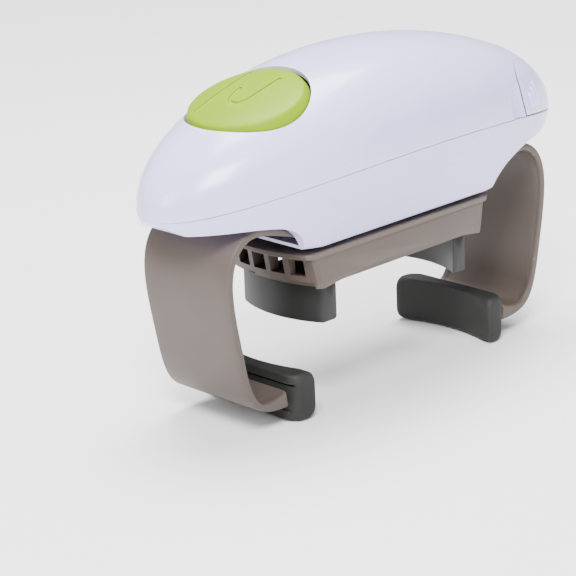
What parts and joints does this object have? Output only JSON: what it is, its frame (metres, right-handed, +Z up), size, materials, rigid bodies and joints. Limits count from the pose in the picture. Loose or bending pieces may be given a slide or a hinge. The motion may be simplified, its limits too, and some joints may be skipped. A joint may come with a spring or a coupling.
{
  "type": "automatic jar opener",
  "caption": "Battery jar opener with a domed oval housing, a round press button, sliding C-shaped arms with jar pads, and a turning carriage with lid jaws.",
  "frame": {"origin": "below the middle of the housing, 3.3 mm from the carriage's turning axis, in the plane of the undersides of the two jar pads", "axes": "+X along the housing from the push button to the battery door, +Y across the width, +Z up"},
  "size_m": [0.2138, 0.0784, 0.1297],
  "materials": {
    "white_gloss_plastic": "smooth moulded gloss, cool white",
    "lime_gloss_plastic": "smooth moulded satin gloss",
    "taupe_matte_plastic": "fine textured moulding",
    "grey_soft_rubber": "soft matte grip",
    "dark_grey_plastic": "moulded satin",
    "white_gear_plastic": "natural acetal",
    "zinc_plated_steel": "plain bright plating",
    "red_wire_sleeve": "insulated wire",
    "green_laminate": "board laminate",
    "cell_wrap": "plain printed wrap without lettering"
  },
  "bodies": {
    "housing": {"upper_housing": "white_gloss_plastic", "lower_housing": "white_gloss_plastic", "rear_housing_screw": "zinc_plated_steel", "front_housing_screw": "zinc_plated_steel", "circuit_board": "green_laminate", "micro_switch": "dark_grey_plastic", "button_spring": "zinc_plated_steel", "battery_tray": "dark_grey_plastic", "left_battery_cell": "cell_wrap", "right_battery_cell": "cell_wrap", "positive_contact": "zinc_plated_steel", "negative_contact": "zinc_plated_steel", "second_idler_pin": "zinc_plated_steel", "first_idler_pin": "zinc_plated_steel", "lower_gear_deck": "dark_grey_plastic", "upper_gear_deck": "dark_grey_plastic", "motor_can": "zinc_plated_steel", "motor_end_cap": "dark_grey_plastic", "red_motor_wire": "red_wire_sleeve", "black_switch_wire": "dark_grey_plastic"},
    "button": {"push_button": "lime_gloss_plastic"},
    "door": {"battery_door": "white_gloss_plastic", "door_contact": "zinc_plated_steel"},
    "left_arm_group": {"left_arm": "taupe_matte_plastic", "left_arm_rack": "taupe_matte_plastic", "left_jar_pad": "grey_soft_rubber", "left_pad_pin": "zinc_plated_steel"},
    "right_arm_group": {"right_arm": "taupe_matte_plastic", "right_arm_rack": "taupe_matte_plastic", "right_jar_pad": "grey_soft_rubber", "right_pad_pin": "zinc_plated_steel"},
    "arm_pinion_group": {"arm_pinion": "white_gear_plastic", "arm_clutch_ring": "grey_soft_rubber"},
    "main_gear_group": {"main_gear": "white_gear_plastic"},
    "second_idler_group": {"second_idler_gear": "white_gear_plastic"},
    "first_idler_group": {"first_idler_gear": "white_gear_plastic"},
    "motor_rotor_group": {"motor_rotor": "zinc_plated_steel", "motor_pinion": "zinc_plated_steel"},
    "carriage": {"carriage_body": "taupe_matte_plastic", "carriage_base": "taupe_matte_plastic", "carriage_retaining_ring": "zinc_plated_steel", "lid_stop_pad": "grey_soft_rubber", "carriage_screw_a": "zinc_plated_steel", "carriage_screw_b": "zinc_plated_steel"},
    "spindle_group": {"jaw_spindle": "zinc_plated_steel", "jaw_pinion": "white_gear_plastic", "clutch_plate": "zinc_plated_steel", "clutch_spring_washer": "zinc_plated_steel", "spindle_nut": "zinc_plated_steel"},
    "left_jaw_group": {"left_lid_jaw": "dark_grey_plastic", "left_jaw_rack": "taupe_matte_plastic"},
    "right_jaw_group": {"right_lid_jaw": "dark_grey_plastic", "right_jaw_rack": "taupe_matte_plastic"}
  },
  "joints": [
    {"name": "button_press", "type": "slide", "parent": "housing", "child": "button", "axis": [0.3057, 0, -0.9521], "range_m": [0, 0.0022], "stiffness_N_per_m": 450, "springref_m": -0.0015, "deforming": ["button_spring"]},
    {"name": "battery_door_slide", "type": "slide", "parent": "housing", "child": "door", "axis": [1, 0, 0], "range_m": [0, 0.03]},
    {"name": "left_arm_slide", "type": "slide", "parent": "housing", "child": "left_arm_group", "axis": [1, 0, 0], "range_m": [-0.003, 0.022]},
    {"name": "right_arm_slide", "type": "slide", "parent": "housing", "child": "right_arm_group", "axis": [-1, 0, 0], "range_m": [-0.003, 0.022]},
    {"name": "arm_pinion_spin", "type": "hinge", "parent": "housing", "child": "arm_pinion_group", "pos_m": [-0.0033, 0, 0.074], "axis": [0, 0, 1], "range_deg": [-92, 14]},
    {"name": "carriage_turn", "type": "hinge", "parent": "housing", "child": "carriage", "pos_m": [-0.0033, 0, 0.06], "axis": [0, 0, 1], "continuous": true},
    {"name": "left_jaw_slide", "type": "slide", "parent": "carriage", "child": "left_jaw_group", "axis": [1, 0, 0], "range_m": [-0.001, 0.02]},
    {"name": "right_jaw_slide", "type": "slide", "parent": "carriage", "child": "right_jaw_group", "axis": [-1, 0, 0], "range_m": [-0.001, 0.02]},
    {"name": "jaw_spindle_spin", "type": "hinge", "parent": "carriage", "child": "spindle_group", "pos_m": [-0.0033, 0, 0.07], "axis": [0, 0, 1], "range_deg": [-193, 12]},
    {"name": "motor_rotor_spin", "type": "hinge", "parent": "housing", "child": "motor_rotor_group", "pos_m": [-0.0157, 0, 0.108], "axis": [0, 0, 1], "continuous": true},
    {"name": "first_idler_spin", "type": "hinge", "parent": "housing", "child": "first_idler_group", "pos_m": [-0.02303, 0.0152, 0.09], "axis": [0, 0, 1], "continuous": true},
    {"name": "second_idler_spin", "type": "hinge", "parent": "housing", "child": "second_idler_group", "pos_m": [-0.0318, 0, 0.085], "axis": [0, 0, 1], "continuous": true},
    {"name": "main_gear_spin", "type": "hinge", "parent": "housing", "child": "main_gear_group", "pos_m": [-0.0033, 0, 0.083], "axis": [0, 0, 1], "continuous": true}
  ],
  "couplings": [
    {"joint": "right_arm_slide", "follows": "left_arm_slide", "ratio": 1},
    {"joint": "arm_pinion_spin", "follows": "left_arm_slide", "rad_per_m": -71.429},
    {"joint": "right_jaw_slide", "follows": "left_jaw_slide", "ratio": 1},
    {"joint": "jaw_spindle_spin", "follows": "left_jaw_slide", "rad_per_m": -166.67},
    {"joint": "first_idler_spin", "follows": "motor_rotor_spin", "ratio": -0.25},
    {"joint": "second_idler_spin", "follows": "motor_rotor_spin", "ratio": 0.075},
    {"joint": "main_gear_spin", "follows": "motor_rotor_spin", "ratio": -0.014063}
  ]
}
